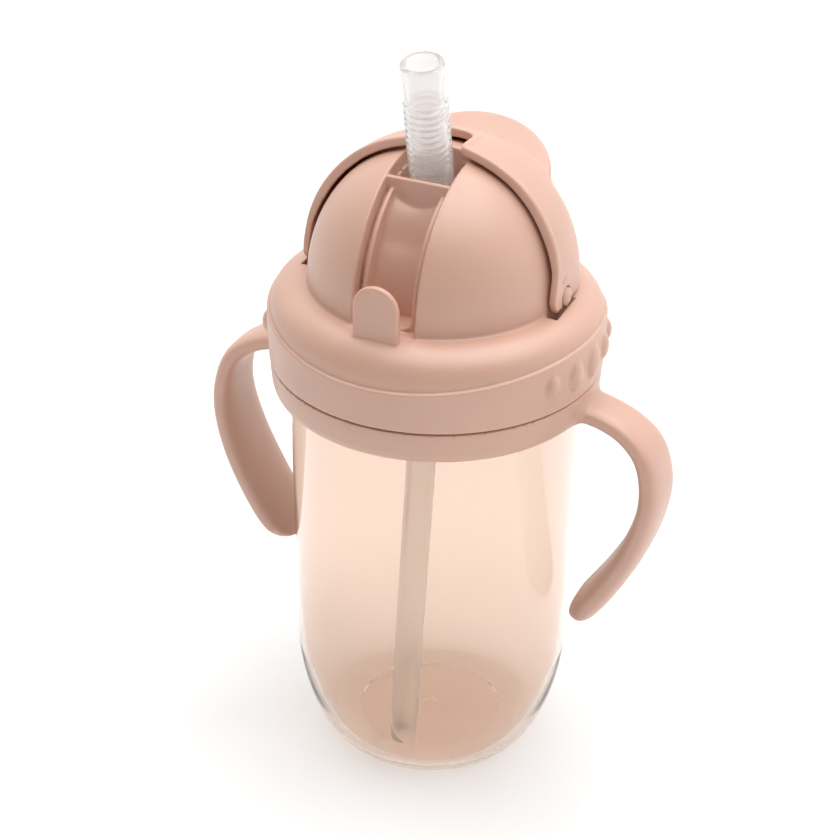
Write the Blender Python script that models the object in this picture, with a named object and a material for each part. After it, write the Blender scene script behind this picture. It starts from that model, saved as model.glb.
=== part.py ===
"""A toddler's straw cup: a tinted tumbler with a screw lid, a turning straw cover and two handles.

Units are metres, +Z is up, and the origin is the centre of the foot. The front of the cup faces -Y
and the two handles lie along +X and -X. The cover is open, so the straw stands up.
"""

from math import asin, atan2, cos, hypot, pi, radians, sin, sqrt

import bmesh
import bpy
from mathutils import Matrix, Vector

MM = 0.001
STEPS = 48  # segments of a turned piece
GAP = 0.3  # clearance between touching pieces, mm

# Driving dimensions, in millimetres.
BODY_RADIUS = 33.56  # at the foot end of the drafted wall
BODY_DRAFT = 0.0064  # the wall widens upwards by this much per mm
BODY_WALL = 1.9
FOOT_RADIUS = 25.3
FOOT_ROUND_HEIGHT = 24.5
FOOT_RECESS_RADIUS = 18.4
RIM_HEIGHT = 116.2
NECK_RADIUS = 33.5
NECK_BORE = 31.5
BEAD_RADIUS = 35.6
BEAD_TOP = 101.2

COLLAR_RADIUS = 38.4
COLLAR_BORE = 34.9  # over the neck
COLLAR_STEP_BORE = 36.0  # under the step that rests on the bead
COLLAR_BOTTOM = 98.9
SEAM_HEIGHT = 107.1  # where the lid's band meets the handle collar

BORE_RADIUS = 35.0  # inside of the lid's band
BAND_LOW_RADIUS = 38.64
BAND_LIP_RADIUS = 38.9
BAND_LIP_HEIGHT = 116.4  # at the front and back
BAND_LIP_RISE = 3.7  # how much higher the lip is at the sides
SHOULDER_FOOT = (37.8, 115.3)  # radius and height where the shoulder leaves the band
DOME_RADIUS = 29.5
DOME_BASE = 125.0
DOME_RISE = 31.4
INNER_RADIUS = 27.4
PLUG_RADIUS = 31.1  # the ring that stands down inside the cup's neck
PLUG_BOTTOM = 114.6
SEAL_SEAT = 118.6  # underside of the lid above the cup's rim

THREAD_LEAD = 4.0
THREAD_DEPTH = 1.1

PIVOT_HEIGHT = 127.3  # the cover's axis, parallel to X
COVER_INSIDE = 30.5
COVER_OUTSIDE = 31.95
EAR_INNER_X = 29.35
EAR_OUTER_X = 30.95
EAR_HOLE = 2.45
EAR_POCKET = 9.4  # radius that the ear sweeps in the shoulder
COVER_BOTTOM = 125.4
NOTCH_HALF = 5.7
NOTCH_BACK = 6.7
TAB_SIZE = (20.0, 17.8, 1.8)  # half width, reach and thickness of the finger tab's oval
TAB_PLACE = radians(38)  # where it leaves the cover, behind straight up
TAB_ROOT = 22.6
TAB_TILT = radians(30)
STUB_RADIUS = 2.15
BUMP_SIZE = (1.4, 2.7, 3.9)  # radial, sideways and upright half sizes of the middle grip bump
BUMP_HEIGHT = 6.7  # above the seam
BUMP_STEP = radians(11.5)
BUMP_SHIFT = radians(-2.5)  # the row of bumps sits a little forward of the handle

CHANNEL_HALF = 5.4  # half width of the straw channel at its floor
CHANNEL_RIM_HALF = 6.9
LEDGE_DEPTH = 2.6
LID_WALL = 1.7
BRIDGE_FRONT = -11.4
BRIDGE_BACK = -10.2
POCKET_HALF = 6.85
POCKET_BACK = 2.3
POCKET_FLOOR = 138.0
FRONT_TAB_HALF = 5.35
FRONT_TAB_TOP = 137.2
FRONT_TAB_FACE = -32.5
FRONT_TAB_THICKNESS = 1.6

STRAW_FOOT = Vector((0, -4.0, 151.0))  # a point on the spout's leaning axis
STRAW_LEAN = radians(11.8)
SPOUT_LENGTH = 28.6  # from STRAW_FOOT to the mouth
MOUTH_START = 19.7
SPOUT_RADIUS = 4.8
SPOUT_BORE = 3.4
BELLOWS_PITCH = 1.42
BELLOWS_RADIUS = 5.0
SOCKET_Y = -3.6  # the spout's foot and the lower straw's top
SPOUT_BASE_TOP = 145.6
SOCKET_END = 128.5  # lower end of the spout's socket
NECK_HOLE = 4.5  # hole in the pocket floor that the spout is pulled through
LOWER_STRAW_RADIUS = 3.3
LOWER_STRAW_BORE = 2.4
LOWER_STRAW_END = Vector((1.5, -19.5, 3.6))

# The cover's front edge when open, from the top down: (y, height).
COVER_EDGE = ((-2.6, 152.0), (-3.1, 148.0), (-3.7, 144.5), (-4.3, 140.0), (-5.3, 134.5), (-6.5, 130.2),
              (-6.7, 128.2), (-6.1, 126.8), (-4.9, COVER_BOTTOM))
# The handle's centre line: distance from the axis, height, width and thickness at each station.
HANDLE_STATIONS = (
    (36.0, 101.4, 12.5, 4.6),
    (42.0, 100.4, 11.5, 4.6),
    (48.0, 97.9, 12.0, 4.7),
    (52.8, 93.2, 13.5, 5.0),
    (55.0, 86.0, 15.0, 5.4),
    (54.9, 78.5, 16.5, 5.6),
    (52.5, 69.3, 17.5, 6.0),
    (48.4, 60.0, 18.0, 6.3),
    (43.3, 51.0, 17.5, 6.5),
    (38.0, 43.6, 14.0, 6.0),
)


def clear_scene():
    for old in list(bpy.data.objects):
        bpy.data.objects.remove(old, do_unlink=True)


def material(name, color, roughness, alpha=1.0, transmission=0.0):
    made = bpy.data.materials.new(name)
    made.use_nodes = True
    made.diffuse_color = (*color, alpha)
    shader = made.node_tree.nodes["Principled BSDF"]
    shader.inputs["Base Color"].default_value = (*color, 1.0)
    shader.inputs["Roughness"].default_value = roughness
    shader.inputs["Metallic"].default_value = 0.0
    shader.inputs["Alpha"].default_value = alpha
    shader.inputs["Transmission Weight"].default_value = transmission
    return made


def new_object(name, mesh_builder, finish=None, cutter=False):
    """A mesh object from a bmesh in millimetres, shaded smooth except on its sharp edges."""
    bmesh.ops.remove_doubles(mesh_builder, verts=mesh_builder.verts, dist=1e-4)
    bmesh.ops.recalc_face_normals(mesh_builder, faces=mesh_builder.faces)
    bmesh.ops.scale(mesh_builder, verts=mesh_builder.verts, vec=(MM, MM, MM))
    mesh = bpy.data.meshes.new(name)
    mesh_builder.to_mesh(mesh)
    mesh_builder.free()
    mesh.shade_smooth()
    mesh.set_sharp_from_angle(angle=radians(35))
    made = bpy.data.objects.new(name, mesh)
    bpy.context.collection.objects.link(made)
    if finish:
        mesh.materials.append(finish)
    if cutter:
        made.hide_render = True
        made.display_type = "WIRE"
    return made


def combine(target, other, operation="DIFFERENCE"):
    """An exact Boolean of two objects. The second one stays in the file as a hidden helper."""
    modifier = target.modifiers.new(operation.lower() + "_" + other.name, "BOOLEAN")
    modifier.operation = operation
    modifier.object = other
    modifier.solver = "EXACT"
    other.hide_render = True
    other.display_type = "WIRE"


def turned(name, profile, finish=None, steps=STEPS, axis=(0, 0, 1), cutter=False):
    """A closed outline of (radius, height) points turned round Z, or round X with axis=(1, 0, 0)."""
    shape = bmesh.new()
    if axis[0]:
        points = [shape.verts.new((height, 0, radius)) for radius, height in profile]
    else:
        points = [shape.verts.new((radius, 0, height)) for radius, height in profile]
    ends = list(zip(points, points[1:]))
    if profile[0][0] > 1e-6 or profile[-1][0] > 1e-6:
        ends.append((points[-1], points[0]))
    edges = [shape.edges.new(pair) for pair in ends]
    bmesh.ops.spin(shape, geom=points + edges, cent=(0, 0, 0), axis=axis, angle=2 * pi, steps=steps,
                   use_duplicate=False)
    return new_object(name, shape, finish, cutter)


def prism(name, outline, low_x, high_x, cutter=True):
    """A (y, z) outline extruded along X."""
    shape = bmesh.new()
    face = shape.faces.new([shape.verts.new((low_x, y, z)) for y, z in outline])
    grown = bmesh.ops.extrude_face_region(shape, geom=[face])
    moved = [item for item in grown["geom"] if isinstance(item, bmesh.types.BMVert)]
    bmesh.ops.translate(shape, verts=moved, vec=(high_x - low_x, 0, 0))
    return new_object(name, shape, cutter=cutter)


def skinned(name, rings, finish=None, cutter=False):
    """A closed solid lofted through rings of points, with a flat cap on each end."""
    shape = bmesh.new()
    rows = [[shape.verts.new(point) for point in ring] for ring in rings]
    count = len(rows[0])
    for near, far in zip(rows, rows[1:]):
        for i in range(count):
            j = (i + 1) % count
            shape.faces.new((near[i], near[j], far[j], far[i]))
    shape.faces.new(reversed(rows[0]))
    shape.faces.new(rows[-1])
    return new_object(name, shape, finish, cutter)


def superellipse(centre, size, power, start, end, count):
    """Points of a superellipse quadrant from angle start to end, in (radius, height)."""
    points = []
    for i in range(count + 1):
        angle = start + (end - start) * i / count
        across = abs(cos(angle)) ** (2 / power)
        up = abs(sin(angle)) ** (2 / power)
        points.append((centre[0] + size[0] * across, centre[1] + size[1] * up))
    return points


def body_radius(height):
    return BODY_RADIUS + BODY_DRAFT * height


def foot_curve(inset, count):
    """The rounded lower end of the tumbler, from the foot up, moved inwards by inset."""
    wide = body_radius(FOOT_ROUND_HEIGHT) - inset
    narrow = FOOT_RADIUS - inset
    points = []
    for i in range(count + 1):
        angle = pi / 2 * i / count
        radius = narrow + (wide - narrow) * sin(angle) ** (2 / 1.52)
        height = FOOT_ROUND_HEIGHT - (FOOT_ROUND_HEIGHT - inset) * cos(angle) ** (2 / 1.52)
        points.append((radius, height))
    return points


def thread(name, root, crest, start_height, start_angle, turns, cutter=True):
    """A trapezoid ridge wound on a right-handed helix."""
    inward = -1 if crest < root else 1
    count = int(36 * turns)
    rings = []
    for i in range(count + 1):
        turn = turns * i / count
        angle = start_angle + 2 * pi * turn
        height = start_height + THREAD_LEAD * turn
        fade = min(1.0, turn / 0.06, (turns - turn) / 0.06)
        top = root + (crest - root) * (0.25 + 0.75 * fade)
        section = ((root - inward * 0.5, -0.95), (top, -0.4), (top, 0.4), (root - inward * 0.5, 0.95))
        rings.append([(r * cos(angle), r * sin(angle), height + z) for r, z in section])
    return skinned(name, rings, cutter=cutter)


def make_cup_body(finish):
    """The tumbler: drafted wall, rounded foot, bead that carries the collar, and a threaded neck."""
    top = body_radius(COLLAR_BOTTOM)
    outside = [(0, 0.7), (FOOT_RECESS_RADIUS - 0.6, 0.7), (FOOT_RECESS_RADIUS, 0)]
    outside += foot_curve(0, 7)
    outside += [(top, COLLAR_BOTTOM), (BEAD_RADIUS, COLLAR_BOTTOM + 0.9), (BEAD_RADIUS, BEAD_TOP - 0.3)]
    outside += [(BEAD_RADIUS - 0.3, BEAD_TOP), (NECK_RADIUS + 0.9, BEAD_TOP), (NECK_RADIUS, BEAD_TOP + 1)]
    outside += [(NECK_RADIUS, RIM_HEIGHT - 0.4), (NECK_RADIUS - 0.4, RIM_HEIGHT)]
    inside = [(NECK_BORE + 0.4, RIM_HEIGHT), (NECK_BORE, RIM_HEIGHT - 0.4), (NECK_BORE, BEAD_TOP + 1.3)]
    inside += [(top - BODY_WALL, BEAD_TOP - 4.2)]
    inside += list(reversed(foot_curve(BODY_WALL, 6)))
    inside += [(0, BODY_WALL + 0.5)]
    body = turned("cup_body", outside + inside, finish)
    ridge = thread("cup_thread", NECK_RADIUS, NECK_RADIUS + THREAD_DEPTH, 108.2, radians(2), 1.25)
    combine(body, ridge, "UNION")
    return body


def catmull(stations, spot):
    """The stations read as one smooth curve, at a spot from 0 to len(stations) - 1."""
    index = min(int(spot), len(stations) - 2)
    f = spot - index
    before = stations[max(index - 1, 0)]
    here = stations[index]
    there = stations[index + 1]
    after = stations[min(index + 2, len(stations) - 1)]
    return [
        0.5 * (2 * b + (c - a) * f + (2 * a - 5 * b + 4 * c - d) * f ** 2 + (3 * b - a - 3 * c + d) * f ** 3)
        for a, b, c, d in zip(before, here, there, after)
    ]


def handle_rings(side, lengthwise=25, around=12):
    """Cross sections of one strap handle, from inside the collar to the rounded free tip."""
    last = len(HANDLE_STATIONS) - 1
    tip = 0.42  # share of the last station over which the tip rounds off
    rings = []
    for i in range(lengthwise + 1):
        share = i / lengthwise
        spot = last * share
        if i > lengthwise - 5:
            spot = last - tip * (1 - sin(pi / 2 * (i - lengthwise + 5) / 5.3))
        x, z, width, thick = catmull(HANDLE_STATIONS, spot)
        ahead = catmull(HANDLE_STATIONS, min(spot + 0.01, last))
        behind = catmull(HANDLE_STATIONS, max(spot - 0.01, 0))
        run, rise = ahead[0] - behind[0], ahead[1] - behind[1]
        along = hypot(run, rise)
        normal = (-rise / along, run / along)
        round_off = max(0.0, (spot - (last - tip)) / tip)
        shrink = sqrt(max(0.0, 1 - round_off ** 2))
        ring = []
        for j in range(around):
            angle = 2 * pi * j / around
            wide = width / 2 * (0.35 + 0.65 * shrink) * abs(cos(angle)) ** 0.62
            deep = thick / 2 * max(shrink, 0.12) * abs(sin(angle)) ** 0.62
            y = wide if cos(angle) > 0 else -wide
            off = deep if sin(angle) > 0 else -deep
            ring.append((side * (x + normal[0] * off), y, z + normal[1] * off))
        rings.append(ring)
    return rings


def make_handle_ring(finish):
    """The collar that the lid traps on the cup's bead, with a strap handle on each side."""
    low = SEAM_HEIGHT - GAP
    step = BEAD_TOP + GAP
    blank = COLLAR_BORE - 0.9
    outline = [(blank, COLLAR_BOTTOM), (36.5, COLLAR_BOTTOM), (37.3, COLLAR_BOTTOM + 0.5)]
    outline += [(37.9, COLLAR_BOTTOM + 1.6), (38.2, COLLAR_BOTTOM + 3.2)]
    outline += [(COLLAR_RADIUS, low - 2.5), (COLLAR_RADIUS, low - 0.3), (COLLAR_RADIUS - 0.3, low)]
    outline += [(blank, low)]
    collar = turned("handle_ring", outline, finish)
    for side, name in ((1, "right_strap"), (-1, "left_strap")):
        combine(collar, skinned(name, handle_rings(side), cutter=True), "UNION")
    # The stepped bore clears the neck above and the bead below, and trims the straps' roots.
    stepped = [(0, 110), (COLLAR_BORE, 110), (COLLAR_BORE, step), (COLLAR_STEP_BORE, step),
               (COLLAR_STEP_BORE, 90), (0, 90)]
    bore = turned("collar_bore", stepped, cutter=True)
    combine(collar, bore)
    return collar


def dome_outline(count=9):
    """The outer dome, from its base to the axis."""
    points = superellipse((0, DOME_BASE), (DOME_RADIUS, DOME_RISE), 2.1, 0, pi / 2, count)
    return points[:-1] + [(0, DOME_BASE + DOME_RISE)]


def floor_radius(angle):
    """Distance of the channel floor from the cover's axis, at an angle forward from straight up."""
    share = min(1.0, max(0.0, (angle - radians(30)) / radians(9)))
    smooth = share * share * (3 - 2 * share)
    return 22.8 + (20.3 - 22.8) * smooth


def channel_outline(offset=0.0):
    """The space in front of the bridge, above the channel floor, grown by offset."""
    low = DOME_BASE - offset
    front = BRIDGE_FRONT + offset
    first = atan2(-front, sqrt((floor_radius(radians(30)) - offset) ** 2 - front ** 2))
    steps = 12
    points = [(front, 165)]
    for i in range(steps + 1):
        angle = first + (pi / 2 - first) * i / steps
        radius = floor_radius(angle) - offset
        points.append((-radius * sin(angle), PIVOT_HEIGHT + radius * cos(angle)))
    points += [(-floor_radius(pi / 2) + offset, low), (-45, low), (-45, 165)]
    return points


def ledge_outline():
    """The shallow step along the channel, from the front shelf up and over to the pocket's back."""
    points = []
    for radius, height in dome_outline(14)[:-1]:
        reach = hypot(radius, height - PIVOT_HEIGHT)
        angle = atan2(radius, height - PIVOT_HEIGHT)
        inner = reach - LEDGE_DEPTH
        points.append((-inner * sin(angle), PIVOT_HEIGHT + inner * cos(angle)))
    points[0] = (points[0][0], DOME_BASE)
    crest = points[-1][1]
    return [(-45, DOME_BASE)] + points + [(POCKET_BACK, crest), (POCKET_BACK, 165), (-45, 165)]


def lid_section(angle):
    """The lid's outer outline at an angle round Z. The band's lip rises towards the two sides."""
    lip = BAND_LIP_HEIGHT + BAND_LIP_RISE * cos(angle) ** 2
    rise = DOME_BASE - SHOULDER_FOOT[1]
    start = asin(((lip - 0.3 - SHOULDER_FOOT[1]) / rise) ** 1.1)
    shoulder = superellipse((DOME_RADIUS, SHOULDER_FOOT[1]), (SHOULDER_FOOT[0] - DOME_RADIUS, rise), 2.2,
                            start, pi / 2, 6)
    return [(0, PLUG_BOTTOM), (PLUG_RADIUS, PLUG_BOTTOM), (PLUG_RADIUS, SEAL_SEAT), (BORE_RADIUS, SEAL_SEAT),
            (BORE_RADIUS, SEAM_HEIGHT), (BAND_LOW_RADIUS, SEAM_HEIGHT), (BAND_LIP_RADIUS, lip - 0.5),
            (BAND_LIP_RADIUS - 0.5, lip)] + shoulder[:-1] + dome_outline()


def make_lid_block(finish):
    """The lid before its channel, pocket and hollow are cut."""
    shape = bmesh.new()
    rows = []
    for i in range(STEPS):
        angle = 2 * pi * (i + 0.5) / STEPS
        rows.append([shape.verts.new((r * cos(angle), r * sin(angle), z)) for r, z in lid_section(angle)])
    for near, far in zip(rows, rows[1:] + rows[:1]):
        for i in range(len(near) - 1):
            if i == 0:
                shape.faces.new((near[0], near[1], far[1]))
            elif i == len(near) - 2:
                shape.faces.new((near[i], near[i + 1], far[i]))
            else:
                shape.faces.new((near[i], near[i + 1], far[i + 1], far[i]))
    return new_object("lid", shape, finish)


def make_grip_bump(side, place):
    """One of five oval bumps on each side of the band, the middle one the largest."""
    size = 0.84 ** abs(place)
    angle = BUMP_SHIFT + BUMP_STEP * place
    if side < 0:
        angle = pi - angle
    deep, wide, tall = BUMP_SIZE
    shape = bmesh.new()
    bmesh.ops.create_uvsphere(shape, u_segments=10, v_segments=7, radius=1.0)
    bmesh.ops.scale(shape, verts=shape.verts, vec=(deep, wide * size, tall * size))
    bmesh.ops.translate(shape, verts=shape.verts, vec=(BAND_LOW_RADIUS, 0, SEAM_HEIGHT + BUMP_HEIGHT))
    bmesh.ops.rotate(shape, verts=shape.verts, cent=(0, 0, 0), matrix=Matrix.Rotation(angle, 3, "Z"))
    return new_object("bump_%s_%d" % ("right" if side > 0 else "left", place + 3), shape, cutter=True)


def make_front_tab():
    """The upright tab in front of the channel that the closed cover slides behind."""
    outline = [(-FRONT_TAB_HALF, DOME_BASE - 2.5), (FRONT_TAB_HALF, DOME_BASE - 2.5)]
    for i in range(11):
        angle = pi * i / 10
        rise = FRONT_TAB_HALF * sin(angle)
        outline.append((FRONT_TAB_HALF * cos(angle), FRONT_TAB_TOP - FRONT_TAB_HALF + rise))
    shape = bmesh.new()
    face = shape.faces.new([shape.verts.new((x, FRONT_TAB_FACE, z)) for x, z in outline])
    grown = bmesh.ops.extrude_face_region(shape, geom=[face])
    moved = [item for item in grown["geom"] if isinstance(item, bmesh.types.BMVert)]
    bmesh.ops.translate(shape, verts=moved, vec=(0, FRONT_TAB_THICKNESS, 0))
    return new_object("front_tab", shape, cutter=True)


def make_trunnion(side):
    """The round stub that the cover's ear turns on."""
    root = INNER_RADIUS + 0.6
    outline = [(0, side * root), (STUB_RADIUS, side * root), (STUB_RADIUS, side * (EAR_OUTER_X + 0.2)),
               (STUB_RADIUS - 0.5, side * (EAR_OUTER_X + 0.65)), (0, side * (EAR_OUTER_X + 0.85))]
    name = "stub_%s" % ("right" if side > 0 else "left")
    stub = turned(name, outline, steps=16, axis=(1, 0, 0), cutter=True)
    stub.location = (0, 0, PIVOT_HEIGHT * MM)
    return stub


def make_ear_pocket(side):
    """The recess in the dome and shoulder that the cover's ear swings through."""
    outline = []
    for i in range(25):
        angle = radians(-50 + 280 * i / 24)
        outline.append((EAR_POCKET * cos(angle), PIVOT_HEIGHT + EAR_POCKET * sin(angle)))
    low, high = sorted((side * (EAR_INNER_X - 0.4), side * (EAR_OUTER_X + 1)))
    return prism("ear_pocket_%s" % ("right" if side > 0 else "left"), outline, low, high)


def straw_frame():
    """Turns a piece made along Z about its foot on to the spout's leaning axis."""
    return Matrix.Translation(STRAW_FOOT * MM) @ Matrix.Rotation(STRAW_LEAN, 4, "X")


def make_lid_hollow():
    """The empty space inside the dome, leaving walls round the channel and the straw pocket."""
    inside = superellipse((0, DOME_BASE - 1), (INNER_RADIUS, DOME_RISE - 1), 2.1, 0, pi / 2, 8)[:-1]
    hollow = turned("dome_hollow", [(0, 110), (INNER_RADIUS, 110)] + inside + [(0, DOME_BASE + DOME_RISE - 2)],
                    cutter=True)
    half = CHANNEL_RIM_HALF + LID_WALL
    combine(hollow, prism("channel_walls", channel_outline(LID_WALL), -half, half))
    back = POCKET_BACK + LID_WALL
    low = POCKET_FLOOR - LID_WALL
    pocket = [(BRIDGE_FRONT, low), (back, low), (back, 165), (BRIDGE_FRONT, 165)]
    combine(hollow, prism("pocket_walls", pocket, -half + 0.1, half - 0.1))
    return hollow


def make_lid(finish):
    """Band, shoulder and dome in one moulding, with the straw channel, pocket, stubs and inner thread."""
    lid = make_lid_block(finish)
    for side in (1, -1):
        for place in range(-2, 3):
            combine(lid, make_grip_bump(side, place), "UNION")
    combine(lid, make_lid_hollow())
    combine(lid, prism("channel", channel_outline(), -CHANNEL_HALF, CHANNEL_HALF))
    combine(lid, prism("ledge", ledge_outline(), -CHANNEL_RIM_HALF, CHANNEL_RIM_HALF))
    combine(lid, make_front_tab(), "UNION")
    pocket = [(BRIDGE_BACK, POCKET_FLOOR), (POCKET_BACK - 0.05, POCKET_FLOOR), (POCKET_BACK - 0.05, 165),
              (BRIDGE_BACK, 165)]
    combine(lid, prism("straw_pocket", pocket, -POCKET_HALF, POCKET_HALF))
    hole = turned("straw_hole", [(0, 130), (NECK_HOLE, 130), (NECK_HOLE, 142), (0, 142)], steps=28, cutter=True)
    hole.location = (0, SOCKET_Y * MM, 0)
    combine(lid, hole)
    for side in (1, -1):
        combine(lid, make_ear_pocket(side))
        combine(lid, make_trunnion(side), "UNION")
    ridge = thread("lid_thread", BORE_RADIUS, BORE_RADIUS - THREAD_DEPTH, 109.2, radians(-88), 1.0)
    combine(lid, ridge, "UNION")
    return lid


def cap_arc(radius, flat):
    """A circle about the cover's axis middle from x = flat down to x = -flat, as (radius, x)."""
    limit = asin(flat / radius)
    angles = [limit - 2 * limit * i / 18 for i in range(19)]
    return [(radius * cos(angle), radius * sin(angle)) for angle in angles]


def make_cover(finish):
    """The turning cover: a spherical shell with flat ears, a notch for the straw and a finger tab."""
    outline = [(EAR_HOLE, EAR_OUTER_X)] + cap_arc(COVER_OUTSIDE, EAR_OUTER_X)
    outline += [(EAR_HOLE, -EAR_OUTER_X), (EAR_HOLE, -EAR_INNER_X)]
    outline += cap_arc(COVER_INSIDE, EAR_INNER_X)[::-1] + [(EAR_HOLE, EAR_INNER_X)]
    cover = turned("cover", outline, finish, steps=60, axis=(1, 0, 0))
    cover.location = (0, 0, PIVOT_HEIGHT * MM)
    tab = make_finger_tab()
    combine(cover, tab, "UNION")
    edge = [(y, z - PIVOT_HEIGHT) for y, z in COVER_EDGE]
    keep = prism("cover_extent", edge + [(60, COVER_BOTTOM - PIVOT_HEIGHT), (60, 60), (edge[0][0], 60)], -50, 50)
    keep.parent = cover
    combine(cover, keep, "INTERSECT")
    notch = []
    for corner_x, start in ((1, 0), (-1, 90)):
        for i in range(5):
            angle = radians(start + 22.5 * i)
            notch.append((corner_x * (NOTCH_HALF - 2) + 2 * cos(angle), NOTCH_BACK - 2 + 2 * sin(angle)))
    notch += [(-NOTCH_HALF, -12), (NOTCH_HALF, -12)]
    shape = bmesh.new()
    face = shape.faces.new([shape.verts.new((x, y, 20)) for x, y in notch])
    grown = bmesh.ops.extrude_face_region(shape, geom=[face])
    moved = [item for item in grown["geom"] if isinstance(item, bmesh.types.BMVert)]
    bmesh.ops.translate(shape, verts=moved, vec=(0, 0, 20))
    cutter = new_object("notch", shape, cutter=True)
    cutter.parent = cover
    combine(cover, cutter)
    return cover


def make_finger_tab():
    """A half-oval thumb plate that stands back from the cover."""
    width, reach, thick = TAB_SIZE
    points = []
    for i in range(21):
        angle = pi * i / 20
        points.append((width * cos(angle), reach * sin(angle)))
    rings = []
    for lift, shrink in ((-thick / 2, 0.975), (-thick / 4, 1.0), (thick / 4, 1.0), (thick / 2, 0.975)):
        rings.append([(x * shrink, y * shrink, lift) for x, y in points])
    tab = skinned("finger_tab", rings, cutter=True)
    spot = Vector((0, TAB_ROOT * sin(TAB_PLACE), PIVOT_HEIGHT + TAB_ROOT * cos(TAB_PLACE)))
    tab.matrix_world = Matrix.Translation(spot * MM) @ Matrix.Rotation(TAB_TILT, 4, "X")
    ball = bmesh.new()
    bmesh.ops.create_uvsphere(ball, u_segments=32, v_segments=20, radius=COVER_OUTSIDE - 0.6)
    trim = new_object("tab_root_trim", ball, cutter=True)
    trim.location = (0, 0, PIVOT_HEIGHT * MM)
    combine(tab, trim)
    return tab


def make_mouthpiece(finish):
    """The plain, slightly flared end of the silicone spout."""
    low, high = MOUTH_START + 0.15, SPOUT_LENGTH
    outline = [(2.6, low), (4.55, low), (4.5, low + 2.0), (4.62, high - 2.5), (SPOUT_RADIUS, high - 0.6),
               (SPOUT_RADIUS - 0.3, high), (3.7, high), (SPOUT_BORE, high - 1.2), (SPOUT_BORE, low + 2.6),
               (2.6, low + 1.6)]
    piece = turned("spout_mouthpiece", outline, finish, steps=28)
    piece.matrix_world = straw_frame()
    return piece


def make_bellows(finish):
    """The ribbed stretch of the silicone spout that bends and folds."""
    low, high = -4.0, MOUTH_START - 0.15
    count = int((high - low) / BELLOWS_PITCH)
    pitch = (high - low) / count
    outline = []
    for i in range(count):
        base = low + pitch * i
        outline += [(BELLOWS_RADIUS - 0.5, base), (BELLOWS_RADIUS, base + pitch / 2)]
    outline += [(BELLOWS_RADIUS - 0.5, high), (3.1, high), (3.1, low)]
    piece = turned("spout_bellows", outline, finish, steps=16)
    piece.matrix_world = straw_frame()
    return piece


def make_spout_base(finish):
    """The foot of the spout: a neck, the flange in the pocket, and the socket under the lid."""
    seat = POCKET_FLOOR + GAP
    under = POCKET_FLOOR - LID_WALL - GAP
    neck = NECK_HOLE - GAP
    sleeve = LOWER_STRAW_RADIUS + GAP
    outline = [(2.6, SPOUT_BASE_TOP), (4.3, SPOUT_BASE_TOP), (4.3, seat + 2.8), (5.2, seat + 2.0), (5.2, seat),
               (neck, seat), (neck, under), (4.9, under), (4.9, under - 1.0), (4.5, SOCKET_END),
               (sleeve, SOCKET_END), (sleeve, SOCKET_END + 6.5), (2.6, SOCKET_END + 7.0)]
    piece = turned("spout_base", outline, finish, steps=28)
    piece.location = (0, SOCKET_Y * MM, 0)
    return piece


def bezier(points, t):
    """The place and the direction of a cubic curve at t."""
    a, b, c, d = points
    u = 1 - t
    place = a * u ** 3 + b * 3 * t * u ** 2 + c * 3 * t ** 2 * u + d * t ** 3
    aim = (b - a) * u ** 2 + (c - b) * 2 * t * u + (d - c) * t ** 2
    return place, aim.normalized()


def make_lower_straw(finish):
    """The tube from the spout's socket down to the floor of the cup, its end cut on a slant."""
    top = Vector((0, SOCKET_Y, SOCKET_END + 6.2))
    end = LOWER_STRAW_END
    route = (top, top - Vector((0, 0, 35)), end + Vector((0, 2, 35)), end)
    sides, stretches = 20, 10
    shape = bmesh.new()
    rows = []
    for i in range(stretches + 1):
        centre, along = bezier(route, i / stretches)
        side = (Vector((1, 0, 0)) - along * along.x).normalized()
        forward = along.cross(side)
        row = []
        for radius in (LOWER_STRAW_RADIUS, LOWER_STRAW_BORE):
            for j in range(sides):
                angle = 2 * pi * j / sides
                slant = radius * cos(angle) - LOWER_STRAW_RADIUS if i == stretches else 0
                spot = centre + (side * cos(angle) + forward * sin(angle)) * radius + along * slant
                row.append(shape.verts.new(spot))
        rows.append(row)
    for near, far in zip(rows, rows[1:]):
        for first in (0, sides):
            for j in range(sides):
                a, b = first + j, first + (j + 1) % sides
                shape.faces.new((near[a], near[b], far[b], far[a]))
    for row in (rows[0], rows[-1]):
        for j in range(sides):
            k = (j + 1) % sides
            shape.faces.new((row[j], row[k], row[sides + k], row[sides + j]))
    return new_object("lower_straw", shape, finish)


def make_gasket(finish):
    """The seal between the cup's rim and the lid."""
    low, high = RIM_HEIGHT + GAP, SEAL_SEAT - GAP
    outline = [(31.4, low), (34.4, low), (34.7, low + 0.3), (34.7, high - 0.3), (34.4, high), (31.4, high)]
    return turned("lid_gasket", outline, finish)


def main():
    clear_scene()
    peach = material("peach_plastic", (0.74, 0.48, 0.37), 0.45)
    tint = material("tinted_clear", (0.86, 0.60, 0.45), 0.08, 0.45, 0.6)
    silicone = material("clear_silicone", (0.80, 0.79, 0.78), 0.25, 0.6, 0.5)
    seal = material("seal_silicone", (0.80, 0.72, 0.68), 0.5)
    make_cup_body(tint)
    make_handle_ring(peach)
    make_gasket(seal)
    make_lid(peach)
    make_cover(peach)
    make_mouthpiece(silicone)
    make_bellows(silicone)
    make_spout_base(silicone)
    make_lower_straw(silicone)


main()
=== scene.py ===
"""Looks of the toddler's straw cup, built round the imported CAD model.

The moulded pieces are described as distance fields in millimetres, with a small radius on every edge as a
mould gives, and meshed on a fine grid. The tumbler, seal and tubes are turned or swept. Shapes are in
millimetres inside the functions, and metres in the scene.
"""

from math import atan2, cos, hypot, pi, radians, sin, sqrt

import bpy
import numpy as np
from mathutils import Matrix, Vector


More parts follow.
